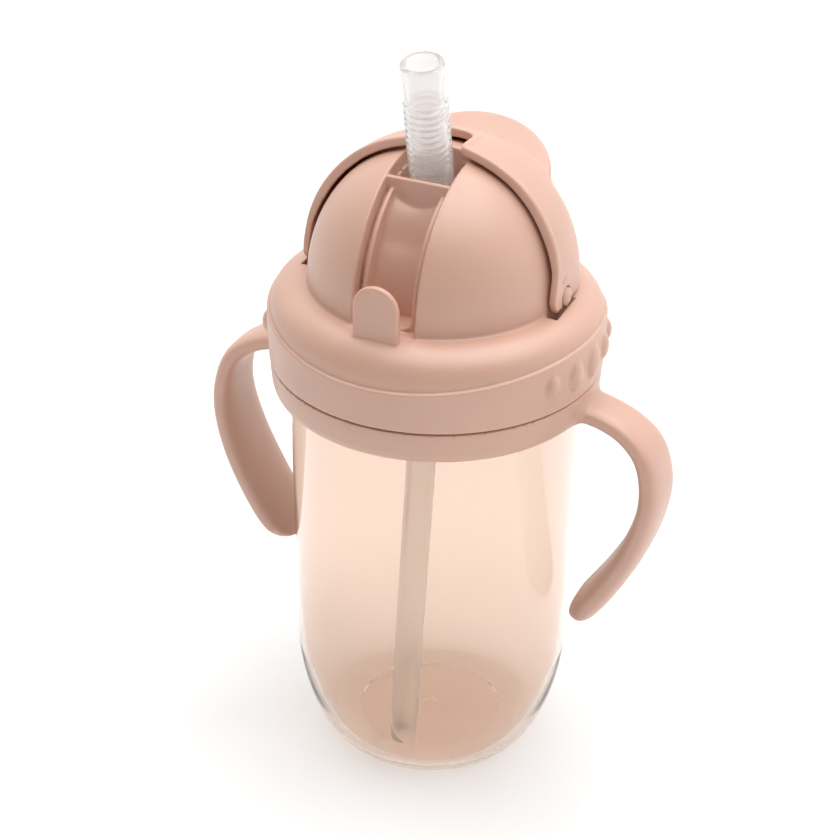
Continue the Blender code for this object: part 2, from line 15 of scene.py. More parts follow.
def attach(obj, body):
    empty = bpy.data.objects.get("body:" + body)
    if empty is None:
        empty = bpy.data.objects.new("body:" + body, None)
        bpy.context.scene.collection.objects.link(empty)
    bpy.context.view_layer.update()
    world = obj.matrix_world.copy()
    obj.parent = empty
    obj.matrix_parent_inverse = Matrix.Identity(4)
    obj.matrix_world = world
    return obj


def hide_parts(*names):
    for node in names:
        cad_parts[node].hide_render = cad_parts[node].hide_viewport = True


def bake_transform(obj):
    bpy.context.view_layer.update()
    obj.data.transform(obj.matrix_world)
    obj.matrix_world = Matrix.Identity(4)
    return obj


MM = 0.001
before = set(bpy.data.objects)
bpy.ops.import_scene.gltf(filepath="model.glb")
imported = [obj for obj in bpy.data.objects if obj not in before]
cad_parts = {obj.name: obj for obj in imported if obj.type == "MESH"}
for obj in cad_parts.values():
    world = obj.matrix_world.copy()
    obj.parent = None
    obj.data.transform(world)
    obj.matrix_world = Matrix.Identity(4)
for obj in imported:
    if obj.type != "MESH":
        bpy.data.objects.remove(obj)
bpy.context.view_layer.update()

# Sizes that the CAD part also has, in millimetres.
BODY_RADIUS = 33.56
BODY_DRAFT = 0.0064
BODY_WALL = 1.9
FOOT_RADIUS = 25.3
FOOT_ROUND_HEIGHT = 24.5
FOOT_RECESS_RADIUS = 18.4
RIM_HEIGHT = 116.2
NECK_RADIUS = 33.5
NECK_BORE = 31.5
BEAD_RADIUS = 35.6
BEAD_TOP = 101.2
COLLAR_RADIUS = 38.4
COLLAR_BORE = 34.9
COLLAR_STEP_BORE = 36.0
COLLAR_BOTTOM = 98.9
SEAM_HEIGHT = 107.1
BORE_RADIUS = 35.0
BAND_LOW_RADIUS = 38.64
BAND_LIP_RADIUS = 38.8
BAND_LIP_HEIGHT = 116.4
BAND_LIP_RISE = 3.7
BAND_LIP_WIDTH = 0.75
BAND_LIP_DROP = 0.45
BUMP_SIZE = (1.4, 2.7, 3.9)
BUMP_HEIGHT = 6.7
BUMP_STEP = 11.5
BUMP_SHIFT = 2.5
DOME_RADIUS = 29.5
DOME_BASE = 125.0
DOME_RISE = 31.4
DOME_POWER = 2.1
SHOULDER_POWER = 2.2
INNER_RADIUS = 27.4
SEAL_SEAT = 118.6
PLUG_RADIUS = 31.1
PLUG_BOTTOM = 114.6
THREAD_LEAD = 4.0
THREAD_DEPTH = 1.1
LID_THREAD_START = 109.2
CUP_THREAD_START = 108.2
PIVOT_HEIGHT = 127.3
COVER_INSIDE = 30.5
COVER_OUTSIDE = 31.95
EAR_INNER_X = 29.35
EAR_OUTER_X = 30.95
EAR_HOLE = 2.45
EAR_RECESS = 6.4
EAR_RECESS_Y = -0.9
COVER_BOTTOM = 125.4
COVER_EDGE_PROUD = 0.32
NOTCH_HALF = 5.7
NOTCH_BACK = 6.7
STUB_RADIUS = 2.15
STUB_PROUD = 0.9
THUMB_HALF = 20.0
THUMB_REACH = 17.8
THUMB_HALF_THICKNESS = 0.9
THUMB_ROOT = 22.6
THUMB_PLACE = radians(38)
THUMB_TILT = radians(30)
CHANNEL_HALF = 5.4
CHANNEL_RIM_HALF = 7.2
CHANNEL_DISH = 0.055
LEDGE_DEPTH = 2.6
GROOVE_HALF = 0.3
GROOVE_DEPTH = 0.9
LID_WALL = 1.7
BRIDGE_FRONT = -11.4
BRIDGE_BACK = -10.2
POCKET_HALF = 6.85
POCKET_BACK = 2.3
BRIDGE_TOP = 153.0
POCKET_FLOOR = 138.0
FRONT_TAB_HALF = 5.35
FRONT_TAB_TOP = 137.2
FRONT_TAB_FACE = -32.5
FRONT_TAB_THICKNESS = 1.6
STRAW_FOOT = (0.0, -4.0, 151.0)
STRAW_LEAN = radians(11.8)
SPOUT_LENGTH = 28.6
SOCKET_Y = -3.6
SOCKET_END = 128.5
NECK_HOLE = 4.5
RING_COUNT = 16
TUBE_TOP = 134.4
TUBE_END = (1.5, -19.5, 3.6)
TUBE_RADIUS = 3.3
TUBE_BORE = 2.4
COVER_EDGE = ((-2.6, 152.0), (-3.1, 148.0), (-3.7, 144.5), (-4.3, 140.0), (-5.3, 134.5), (-6.5, 130.2),
              (-6.7, 128.2), (-6.1, 126.8), (-4.9, COVER_BOTTOM))
HANDLE_STATIONS = (
    (36.0, 101.4, 12.5, 4.6),
    (42.0, 100.4, 11.5, 4.6),
    (48.0, 97.9, 12.0, 4.7),
    (52.8, 93.2, 13.5, 5.0),
    (55.0, 86.0, 15.0, 5.4),
    (54.9, 78.5, 16.5, 5.6),
    (52.5, 69.3, 17.5, 6.0),
    (48.4, 60.0, 18.0, 6.3),
    (43.3, 51.0, 17.5, 6.5),
    (38.0, 43.6, 14.0, 6.0),
)


# Distance fields ------------------------------------------------------------------------------------


def soft_min(a, b, radius):
    """The union of two fields, with a fillet of about this radius where they meet."""
    if radius <= 0:
        return np.minimum(a, b)
    h = np.clip(0.5 + 0.5 * (b - a) / radius, 0, 1)
    return b + (a - b) * h - radius * h * (1 - h)


def soft_max(a, b, radius):
    """The intersection of two fields, with the edge rounded by about this radius."""
    return -soft_min(-a, -b, radius)


def cut(field, tool, radius):
    return soft_max(field, -tool, radius)


def outline_distance(points, u, v):
    """Signed distance from the places (u, v) to a closed outline, negative inside."""
    nearest = np.full(u.shape, 1e9, np.float32)
    inside = np.zeros(u.shape, bool)
    for (u0, v0), (u1, v1) in zip(points, points[1:] + points[:1]):
        du, dv = u1 - u0, v1 - v0
        span = du * du + dv * dv
        if span < 1e-12:
            continue
        t = np.clip(((u - u0) * du + (v - v0) * dv) / span, 0, 1)
        nearest = np.minimum(nearest, (u - u0 - t * du) ** 2 + (v - v0 - t * dv) ** 2)
        if dv:
            crosses = ((v0 > v) != (v1 > v)) & (u < u0 + (v - v0) * du / dv)
            inside ^= crosses
    away = np.sqrt(nearest)
    return np.where(inside, -away, away)


class Table:
    """A field of two coordinates, sampled once on a fine grid and read back by interpolation."""

    def __init__(self, function, low, high, step=0.12):
        self.low = low
        self.step = step
        counts = [int((b - a) / step) + 2 for a, b in zip(low, high)]
        u = low[0] + step * np.arange(counts[0], dtype=np.float32)
        v = low[1] + step * np.arange(counts[1], dtype=np.float32)
        self.values = function(*np.meshgrid(u, v, indexing="ij")).astype(np.float32)

    def __call__(self, u, v):
        a = np.clip((u - self.low[0]) / self.step, 0, self.values.shape[0] - 1.001)
        b = np.clip((v - self.low[1]) / self.step, 0, self.values.shape[1] - 1.001)
        i, j = a.astype(np.int32), b.astype(np.int32)
        a, b = a - i, b - j
        t = self.values
        return ((t[i, j] * (1 - a) + t[i + 1, j] * a) * (1 - b)
                + (t[i, j + 1] * (1 - a) + t[i + 1, j + 1] * a) * b)


def outline_table(points, low, high, step=0.12):
    return Table(lambda u, v: outline_distance(list(points), u, v), low, high, step)


def gradient(field, points, step=0.04):
    """Numerical gradient of a field at some points."""
    parts = []
    for axis in range(3):
        ahead, behind = points.copy(), points.copy()
        ahead[:, axis] += step
        behind[:, axis] -= step
        parts.append((field(*ahead.T) - field(*behind.T)) / (2 * step))
    return np.stack(parts, 1)


def sampled(field, low, high, cell, coarse=4):
    """The field on a grid. Only the blocks near the surface are read at full resolution."""
    count = [int(np.ceil((b - a) / (cell * coarse))) for a, b in zip(low, high)]
    block = cell * coarse
    centres = [a + block * (np.arange(n, dtype=np.float32) + 0.5) for a, n in zip(low, count)]
    grid = np.meshgrid(*centres, indexing="ij")
    rough = field(grid[0].ravel(), grid[1].ravel(), grid[2].ravel()).reshape(count)
    near = np.abs(rough) < block * 1.35
    values = np.repeat(np.repeat(np.repeat(np.where(rough < 0, -1, 1).astype(np.float32) * block,
                                           coarse, 0), coarse, 1), coarse, 2)
    i, j, k = np.nonzero(near)
    steps = np.arange(coarse)
    index = []
    for place, axis in ((i, 0), (j, 1), (k, 2)):
        shape = [1, 1, 1, 1]
        shape[axis + 1] = coarse
        index.append(np.broadcast_to(place[:, None, None, None] * coarse + steps.reshape(shape),
                                     (len(i), coarse, coarse, coarse)).ravel())
    at = [a + cell * n.astype(np.float32) for a, n in zip(low, index)]
    values[index[0], index[1], index[2]] = field(*at)
    return values


def surface_of(field, low, high, cell):
    """Vertices, quads and normals of a field's zero surface, by surface nets on a regular grid."""
    values = sampled(field, low, high, cell)
    inside = values < 0
    size = [n - 1 for n in values.shape]
    corners = [(a, b, c) for a in (0, 1) for b in (0, 1) for c in (0, 1)]

    def shifted(array, corner):
        return array[tuple(slice(s, s + n) for s, n in zip(corner, size))]

    total = sum(shifted(inside, corner).astype(np.int8) for corner in corners)
    cells = np.argwhere((total > 0) & (total < 8))
    number = np.full(size, -1, np.int64)
    number[tuple(cells.T)] = np.arange(len(cells))
    summed = np.zeros((len(cells), 3))
    hits = np.zeros(len(cells))
    for first in corners:
        for axis in range(3):
            if first[axis]:
                continue
            second = tuple(s + (n == axis) for n, s in enumerate(first))
            a = values[tuple((cells + first).T)]
            b = values[tuple((cells + second).T)]
            crossing = (a < 0) != (b < 0)
            share = np.where(crossing, a / np.where(crossing, a - b, 1), 0)
            spot = np.array(first) + share[:, None] * (np.arange(3) == axis)
            summed += spot * crossing[:, None]
            hits += crossing
    points = np.array(low) + cell * (cells + summed / hits[:, None])
    quads = []
    for axis in range(3):
        side_a, side_b = [n for n in range(3) if n != axis]
        near = inside[tuple(slice(1, -1) if n != axis else slice(0, -1) for n in range(3))]
        far = inside[tuple(slice(1, -1) if n != axis else slice(1, None) for n in range(3))]
        for leaving in (True, False):
            edges = np.argwhere((near & ~far) if leaving else (~near & far))
            edges += [0 if n == axis else 1 for n in range(3)]
            ring = [(0, 0), (-1, 0), (-1, -1), (0, -1)]
            if leaving == (axis == 1):
                ring.reverse()
            four = []
            for a, b in ring:
                spot = edges.copy()
                spot[:, side_a] += a
                spot[:, side_b] += b
                four.append(number[tuple(spot.T)])
            quads.append(np.stack(four, 1))
    quads = np.concatenate(quads)
    for _ in range(2):
        slope = gradient(field, points)
        steep = np.maximum((slope ** 2).sum(1), 0.1)
        move = (field(*points.T) / steep)[:, None] * slope
        length = np.linalg.norm(move, axis=1)[:, None]
        points -= move * np.minimum(1, 0.45 * cell / np.maximum(length, 1e-9))
    normals = gradient(field, points, 0.12)
    normals /= np.maximum(np.linalg.norm(normals, axis=1)[:, None], 1e-9)
    return points, quads, normals


def moulded(name, field, low, high, cell, finish):
    """An object from a distance field, with smooth normals read from the field itself."""
    points, quads, normals = surface_of(field, low, high, cell)
    mesh = bpy.data.meshes.new(name)
    mesh.vertices.add(len(points))
    mesh.vertices.foreach_set("co", (points * MM).astype(np.float32).ravel())
    mesh.loops.add(quads.size)
    mesh.loops.foreach_set("vertex_index", quads.astype(np.int32).ravel())
    mesh.polygons.add(len(quads))
    mesh.polygons.foreach_set("loop_start", np.arange(0, quads.size, 4, dtype=np.int32))
    mesh.update(calc_edges=True)
    mesh.validate()
    mesh.shade_smooth()
    mesh.normals_split_custom_set_from_vertices(normals.astype(np.float32))
    made = bpy.data.objects.new(name, mesh)
    bpy.context.collection.objects.link(made)
    mesh.materials.append(finish)
    return made


# Moulded pieces --------------------------------------------------------------------------------------


def superellipse(centre, size, power, start, end, count):
    """Points of a superellipse quadrant from angle start to end, as (radius, height)."""
    points = []
    for i in range(count + 1):
        angle = start + (end - start) * i / count
        across = abs(cos(angle)) ** (2 / power)
        up = abs(sin(angle)) ** (2 / power)
        points.append((centre[0] + size[0] * across, centre[1] + size[1] * up))
    return points


def floor_radius(angle):
    """Distance of the channel floor from the cover's axis, at an angle forward from straight up."""
    share = min(1.0, max(0.0, (angle - radians(30)) / radians(24)))
    smooth = share * share * (3 - 2 * share)
    return 22.8 + (20.3 - 22.8) * smooth


def channel_outline(offset, front):
    """The space above the channel floor and in front of y = front, as (y, z), grown by offset."""
    low = DOME_BASE - offset
    first = atan2(-front, sqrt((floor_radius(radians(30)) - offset) ** 2 - front ** 2))
    points = [(front, 165)]
    for i in range(41):
        angle = first + (pi / 2 - first) * i / 40
        radius = floor_radius(angle) - offset
        points.append((-radius * sin(angle), PIVOT_HEIGHT + radius * cos(angle)))
    return points + [(-floor_radius(pi / 2) + offset, low), (-45, low), (-45, 165)]


def turned_solid(points):
    return outline_table(points, (0, 96), (42, 162))


def lid_field():
    """Band, shoulder and dome with the straw channel, pocket, bridge, stubs, front tab and inner thread."""
    dome_points = superellipse((0, DOME_BASE), (DOME_RADIUS, DOME_RISE), DOME_POWER, 0, pi / 2, 60)
    dome = turned_solid([(-20, 112), (DOME_RADIUS, 112)] + dome_points + [(-20, DOME_BASE + DOME_RISE)])
    inside = superellipse((0, DOME_BASE - 1), (INNER_RADIUS, DOME_RISE - 1), DOME_POWER, 0, pi / 2, 40)
    hollow = turned_solid([(-20, 96), (INNER_RADIUS, 96)] + inside + [(-20, DOME_BASE + DOME_RISE - 2)])
    below = outline_table(channel_outline(0.0, 0.0), (-46, 116), (10, 166))
    walls = outline_table(channel_outline(LID_WALL, BRIDGE_FRONT + LID_WALL), (-46, 116), (10, 166))

    def field(x, y, z):
        r = np.hypot(x, y)
        beside = np.abs(x)
        lip = BAND_LIP_HEIGHT + BAND_LIP_RISE * (x / np.maximum(r, 1)) ** 2
        draft = (z - SEAM_HEIGHT) / (lip - SEAM_HEIGHT)
        face = BAND_LOW_RADIUS + (BAND_LIP_RADIUS - BAND_LOW_RADIUS) * np.clip(draft, 0, 1)
        band = soft_max(soft_max(r - face, z - lip, 0.55), SEAM_HEIGHT - z, 0.35)
        for place in range(-2, 3):
            size = 0.83 ** abs(place)
            turn = radians(BUMP_STEP * place - BUMP_SHIFT)
            along = beside * cos(turn) + y * sin(turn)
            across = y * cos(turn) - beside * sin(turn)
            height = z - (SEAM_HEIGHT + BUMP_HEIGHT)
            deep, wide, tall = BUMP_SIZE
            shape = np.sqrt(((along - BAND_LOW_RADIUS) / deep) ** 2 + (across / (wide * size)) ** 2
                            + (height / (tall * size)) ** 2)
            band = soft_min(band, (shape - 1) * deep, 0.6)
        # The shoulder runs from the lip, whose height varies, up to the foot of the dome.
        foot = lip - BAND_LIP_DROP
        wide = BAND_LIP_RADIUS - BAND_LIP_WIDTH - DOME_RADIUS
        tall = DOME_BASE - foot
        aside = np.maximum(r - DOME_RADIUS, 0) / wide
        above = np.maximum(z - foot, 0) / tall
        shoulder = (aside ** SHOULDER_POWER + above ** SHOULDER_POWER + 1e-9) ** (1 / SHOULDER_POWER) - 1
        shoulder = shoulder * wide * tall / np.sqrt((tall * np.clip(aside, 0.05, 1)) ** 2
                                                    + (wide * np.clip(above, 0.05, 1)) ** 2)
        shoulder = np.maximum(shoulder, 111 - z)
        outer = soft_min(dome(r, z), shoulder, 0.9)
        # The inside: a bore for the neck, a seat for the seal, and the dome's hollow less its inner walls.
        plug = np.maximum(r - PLUG_RADIUS, PLUG_BOTTOM - z)
        bore = np.maximum(np.maximum(r - BORE_RADIUS, z - SEAL_SEAT), -plug)
        core = hollow(r, z)
        lining = np.maximum(walls(y, z), beside - CHANNEL_RIM_HALF - LID_WALL)
        pocket_box = np.maximum(np.maximum(BRIDGE_FRONT - y, y - POCKET_BACK - LID_WALL),
                                np.maximum(beside - CHANNEL_RIM_HALF - LID_WALL, POCKET_FLOOR - LID_WALL - z))
        core = soft_max(core, -np.minimum(lining, pocket_box), 0.3)
        solid = soft_min(band, outer, 0.3)
        solid = cut(solid, bore, 0.3)
        solid = cut(solid, core, 0.3)
        # The straw channel with its concave floor, the step along it, and the pocket behind the bridge.
        dished = below(y, z) + CHANNEL_DISH * np.minimum(beside, CHANNEL_HALF) ** 2
        trough = soft_max(soft_max(dished, beside - CHANNEL_HALF, 0.8), y - BRIDGE_FRONT, 0.5)
        solid = cut(solid, trough, 0.3)
        depth = -dome(r, z)
        step_cut = np.maximum(depth - LEDGE_DEPTH, DOME_BASE - z)
        step_cut = soft_max(step_cut, beside - CHANNEL_RIM_HALF, 0.4)
        step_cut = np.maximum(step_cut, y - POCKET_BACK)
        solid = cut(solid, step_cut, 0.6)
        groove = np.abs(beside - CHANNEL_RIM_HALF + GROOVE_HALF) - GROOVE_HALF
        groove = np.maximum(groove, depth - LEDGE_DEPTH - GROOVE_DEPTH)
        groove = np.maximum(np.maximum(groove, DOME_BASE + 0.6 - z), y - POCKET_BACK)
        solid = cut(solid, groove, 0.35)
        pocket = np.maximum(np.maximum(BRIDGE_BACK - y, y - POCKET_BACK + 0.05),
                            np.maximum(beside - POCKET_HALF, POCKET_FLOOR - z))
        solid = cut(solid, pocket, 0.35)
        middle = (BRIDGE_FRONT + BRIDGE_BACK) / 2
        bridge = np.abs(y - middle) - (BRIDGE_BACK - BRIDGE_FRONT) / 2
        bridge = np.maximum(bridge, beside - CHANNEL_RIM_HALF - 0.2)
        bridge = np.maximum(soft_max(bridge, z - BRIDGE_TOP, 0.35), POCKET_FLOOR - z)
        solid = soft_min(solid, bridge, 0.25)
        hole = np.maximum(np.hypot(x, y - SOCKET_Y) - NECK_HOLE, np.abs(z - 136) - 6)
        solid = cut(solid, hole, 0.2)
        # The ears' recesses, and the stubs that they turn on.
        swing = np.hypot(y, z - PIVOT_HEIGHT)
        swept = np.hypot(y - EAR_RECESS_Y, z - PIVOT_HEIGHT) - EAR_RECESS
        swept = np.maximum(swept, EAR_INNER_X - 0.4 - beside)
        recess = np.maximum(swept, beside - EAR_OUTER_X - 0.45)
        solid = cut(solid, recess, 0.3)
        crown = np.sqrt(swing ** 2 + np.maximum(beside - EAR_OUTER_X + 0.2, 0) ** 2 * 3.2)
        stub = np.maximum(crown - STUB_RADIUS, INNER_RADIUS + 0.6 - beside)
        stub = np.maximum(stub, beside - EAR_OUTER_X - STUB_PROUD)
        solid = soft_min(solid, stub, 0.15)
        # The upright tab in front of the channel.
        above = z - (FRONT_TAB_TOP - FRONT_TAB_HALF)
        rounded = np.where(above > 0, np.hypot(x, above), beside) - FRONT_TAB_HALF
        sheet = FRONT_TAB_THICKNESS / 2
        plate = soft_max(rounded, np.abs(y - FRONT_TAB_FACE - sheet) - sheet, 0.7)
        plate = np.maximum(plate, DOME_BASE - 3 - z)
        solid = soft_min(solid, plate, 0.45)
        # One turn of the inner thread.
        angle = np.arctan2(y, x)
        turn = np.mod((angle + radians(88)) / (2 * pi), 1.0)
        rung = np.abs(z - LID_THREAD_START - THREAD_LEAD * turn)
        fade = np.clip(np.minimum(turn, 1 - turn) / 0.06, 0.1, 1)
        ridge = np.maximum(BORE_RADIUS - THREAD_DEPTH * fade - r + 0.6 * np.maximum(rung - 0.4, 0),
                           np.maximum(rung - 0.95, r - BORE_RADIUS - 0.5))
        return soft_min(solid, ridge, 0.2)

    return field


def cover_field():
    """The shell with its ears, the notch for the straw, the raised edge and the thumb plate."""
    extent = list(COVER_EDGE) + [(60, COVER_BOTTOM), (60, 190), (COVER_EDGE[0][0], 190)]
    keep = outline_table(extent, (-12, 120), (52, 166))
    root = (THUMB_ROOT * sin(THUMB_PLACE), PIVOT_HEIGHT + THUMB_ROOT * cos(THUMB_PLACE))

    def field(x, y, z):
        beside = np.abs(x)
        up = z - PIVOT_HEIGHT
        reach = np.sqrt(x * x + y * y + up * up)
        notch = soft_max(beside - NOTCH_HALF, y - NOTCH_BACK, 3.4)
        notch = np.maximum(notch, 10 - up)
        trimmed = soft_max(keep(y, z), -notch, 1.6)
        # The edge stands a little proud of the shell.
        lip = COVER_EDGE_PROUD * np.clip(1.25 - np.abs(trimmed + 0.7) * 1.1, 0, 1)
        lip = lip * np.clip((up - 6) / 8, 0, 1)
        outside = soft_max(reach - COVER_OUTSIDE - lip, beside - EAR_OUTER_X, 0.5)
        inside = soft_max(reach - COVER_INSIDE + 1.3 * lip, beside - EAR_INNER_X, 0.5)
        # The thumb plate: half of a flat oval that stands back from the shell.
        dy, dz = y - root[0], z - root[1]
        out = dy * cos(THUMB_TILT) + dz * sin(THUMB_TILT)
        off = dz * cos(THUMB_TILT) - dy * sin(THUMB_TILT)
        oval = (np.sqrt((x / THUMB_HALF) ** 2 + (np.maximum(out, 0) / THUMB_REACH) ** 2) - 1) * 17.0
        plate = soft_max(oval, np.abs(off) - THUMB_HALF_THICKNESS, 0.8)
        plate = np.maximum(plate, -out)
        solid = soft_min(outside, plate, 1.2)
        solid = cut(solid, inside, 0.25)
        # A small half-moon that clicks the cover in place, above the stub.
        moon = np.sqrt(((y + 0.6) / 2.1) ** 2 + ((up - 4.5) / 1.25) ** 2
                       + ((beside - EAR_OUTER_X) / 0.5) ** 2)
        moon = np.maximum((moon - 1) * 0.5, 4.5 - up)
        solid = soft_min(solid, moon, 0.2)
        solid = soft_max(solid, trimmed, 0.45)
        swing = np.hypot(y, up)
        return cut(solid, np.maximum(swing - EAR_HOLE, 20 - beside), 0.2)

    return field


def catmull(stations, spot):
    """The stations read as one smooth curve, at a spot from 0 to len(stations) - 1."""
    index = min(int(spot), len(stations) - 2)
    f = spot - index
    before = stations[max(index - 1, 0)]
    here = stations[index]
    there = stations[index + 1]
    after = stations[min(index + 2, len(stations) - 1)]
    return [
        0.5 * (2 * b + (c - a) * f + (2 * a - 5 * b + 4 * c - d) * f ** 2 + (3 * b - a - 3 * c + d) * f ** 3)
        for a, b, c, d in zip(before, here, there, after)
    ]


def strap_tables():
    """For places (x, z) beside the cup: the offset from the strap's centre line, and its progress."""
    last = len(HANDLE_STATIONS) - 1
    line = np.array([catmull(HANDLE_STATIONS, last * i / 240) for i in range(241)])
    low, high = (30, 38), (62, 110)

    def nearest(u, v):
        gap = (u.ravel()[:, None] - line[None, :, 0]) ** 2 + (v.ravel()[:, None] - line[None, :, 1]) ** 2
        return gap.argmin(1).reshape(u.shape)

    def offset(u, v):
        k = nearest(u, v)
        ahead = line[np.minimum(k + 1, len(line) - 1)]
        behind = line[np.maximum(k - 1, 0)]
        run, rise = ahead[..., 0] - behind[..., 0], ahead[..., 1] - behind[..., 1]
        return ((v - line[k][..., 1]) * run - (u - line[k][..., 0]) * rise) / np.hypot(run, rise)

    def beyond(u, v):
        end = line[-1]
        run, rise = line[-1][0] - line[-4][0], line[-1][1] - line[-4][1]
        return ((u - end[0]) * run + (v - end[1]) * rise) / hypot(run, rise)

    def width(u, v):
        return line[nearest(u, v)][..., 2]

    def thickness(u, v):
        return line[nearest(u, v)][..., 3]

    return [Table(made, low, high, 0.25) for made in (offset, beyond, width, thickness)]


def handle_field():
    """The collar, rounded at its lower edge, and the two straps."""
    low = SEAM_HEIGHT - 0.3
    profile = [(30, COLLAR_BOTTOM), (36.4, COLLAR_BOTTOM), (37.2, COLLAR_BOTTOM + 0.3)]
    profile += [(37.8, COLLAR_BOTTOM + 1.1), (38.15, COLLAR_BOTTOM + 2.4), (COLLAR_RADIUS, low - 2.5)]
    profile += [(COLLAR_RADIUS, low), (30, low)]
    ring = turned_solid(profile)
    offset, beyond, width, thickness = strap_tables()

    def field(x, y, z):
        r = np.hypot(x, y)
        beside = np.abs(x)
        past = np.maximum(beyond(beside, z) + 7.0, 0) / 7.0
        wide = width(beside, z) / 2
        deep = thickness(beside, z) / 2
        section = ((np.abs(y) / wide) ** 3 + (np.abs(offset(beside, z)) / deep) ** 2.6) ** (1 / 2.8)
        strap = (np.sqrt(section ** 2 + past ** 2 * 0.999) - 1) * deep
        strap = np.where((beside < 31) | (z > 109) | (z < 39), 5.0, strap)
        solid = soft_min(soft_max(ring(r, z), z - low, 0.4), strap, 1.6)
        bore = np.where(z > BEAD_TOP + 0.3, COLLAR_BORE, COLLAR_STEP_BORE)
        solid = np.maximum(solid, z - low)
        return soft_max(solid, np.where(z > 90, bore - r, -5), 0.2)

    return field


# Turned and swept pieces ------------------------------------------------------------------------------


def mesh_object(name, points, faces, finish, sharp=40):
    mesh = bpy.data.meshes.new(name)
    mesh.from_pydata([Vector(point) * MM for point in points], [], faces)
    mesh.validate()
    mesh.shade_smooth()
    mesh.set_sharp_from_angle(angle=radians(sharp))
    made = bpy.data.objects.new(name, mesh)
    bpy.context.collection.objects.link(made)
    mesh.materials.append(finish)
    return made


def lathe(name, profile, finish, steps=192, sharp=40):
    """A closed outline of (radius, height) turned round Z. Points on the axis become one vertex."""
    points, rows = [], []
    for radius, height in profile:
        if radius < 1e-6:
            rows.append([len(points)] * steps)
            points.append((0, 0, height))
            continue
        rows.append(list(range(len(points), len(points) + steps)))
        for i in range(steps):
            angle = 2 * pi * i / steps
            points.append((radius * cos(angle), radius * sin(angle), height))
    faces = []
    closed = profile[0][0] > 1e-6
    pairs = list(zip(rows, rows[1:])) + ([(rows[-1], rows[0])] if closed else [])
    for low, high in pairs:
        for i in range(steps):
            j = (i + 1) % steps
            corners = []
            for corner in (low[i], low[j], high[j], high[i]):
                if corner not in corners:
                    corners.append(corner)
            if len(corners) > 2:
                faces.append(corners)
    return mesh_object(name, points, faces, finish, sharp)


def body_radius(height):
    return BODY_RADIUS + BODY_DRAFT * height


def foot_curve(inset, count):
    """The rounded lower end of the tumbler, from the foot up, moved inwards by inset."""
    wide = body_radius(FOOT_ROUND_HEIGHT) - inset
    narrow = FOOT_RADIUS - inset
    points = []
    for i in range(count + 1):
        angle = pi / 2 * i / count
        radius = narrow + (wide - narrow) * sin(angle) ** (2 / 1.52)
        height = FOOT_ROUND_HEIGHT - (FOOT_ROUND_HEIGHT - inset) * cos(angle) ** (2 / 1.52)
        points.append((radius, height))
    return points


def make_tumbler(finish):
    """The drafted wall, rounded foot with its recess, bead and neck, turned in one outline."""
    top = body_radius(COLLAR_BOTTOM)
    recess = FOOT_RECESS_RADIUS
    outside = [(0, 1.1), (1.5, 1.05), (1.9, 0.7), (recess - 0.9, 0.7), (recess - 0.5, 0.55)]
    outside += [(recess - 0.1, 0.1), (recess + 0.3, 0)]
    outside += foot_curve(0, 28)
    outside += [(top, COLLAR_BOTTOM - 0.2), (top + 0.2, COLLAR_BOTTOM + 0.1)]
    outside += [(BEAD_RADIUS, COLLAR_BOTTOM + 0.9), (BEAD_RADIUS, BEAD_TOP - 0.3)]
    outside += [(BEAD_RADIUS - 0.3, BEAD_TOP), (NECK_RADIUS + 0.9, BEAD_TOP), (NECK_RADIUS, BEAD_TOP + 1), (NECK_RADIUS, RIM_HEIGHT - 0.6)]
    outside += [(NECK_RADIUS - 0.2, RIM_HEIGHT - 0.15), (NECK_RADIUS - 0.6, RIM_HEIGHT)]
    inside = [(NECK_BORE + 0.6, RIM_HEIGHT), (NECK_BORE + 0.2, RIM_HEIGHT - 0.15)]
    inside += [(NECK_BORE, RIM_HEIGHT - 0.6), (NECK_BORE, BEAD_TOP + 1.3), (top - BODY_WALL, BEAD_TOP - 4.2)]
    inside += list(reversed(foot_curve(BODY_WALL, 28)))
    inside += [(0, BODY_WALL + 0.5)]
    return lathe("tumbler", outside + inside, finish, 224)


def make_neck_thread(finish):
    """The cup's outer thread, a rounded ridge on a right-handed helix whose root is inside the neck."""
    turns = 1.25
    count = int(96 * turns)
    shape = [(-0.4, -0.95), (0.35, -0.75), (0.9, -0.4), (THREAD_DEPTH, 0)]
    shape += [(0.9, 0.4), (0.35, 0.75), (-0.4, 0.95)]
    points, faces = [], []
    for i in range(count + 1):
        turn = turns * i / count
        angle = radians(2) + 2 * pi * turn
        fade = min(1.0, turn / 0.06, (turns - turn) / 0.06)
        for off, up in shape:
            radius = NECK_RADIUS - 0.02 + (off if off < 0 else off * (0.05 + 0.95 * fade))
            height = CUP_THREAD_START + THREAD_LEAD * turn + up
            points.append((radius * cos(angle), radius * sin(angle), height))
    wide = len(shape)
    for i in range(count):
        for j in range(wide):
            k = (j + 1) % wide
            faces.append((i * wide + j, i * wide + k, (i + 1) * wide + k, (i + 1) * wide + j))
    faces.append(tuple(reversed(range(wide))))
    faces.append(tuple(range(count * wide, (count + 1) * wide)))
    return mesh_object("neck_thread", points, faces, finish)


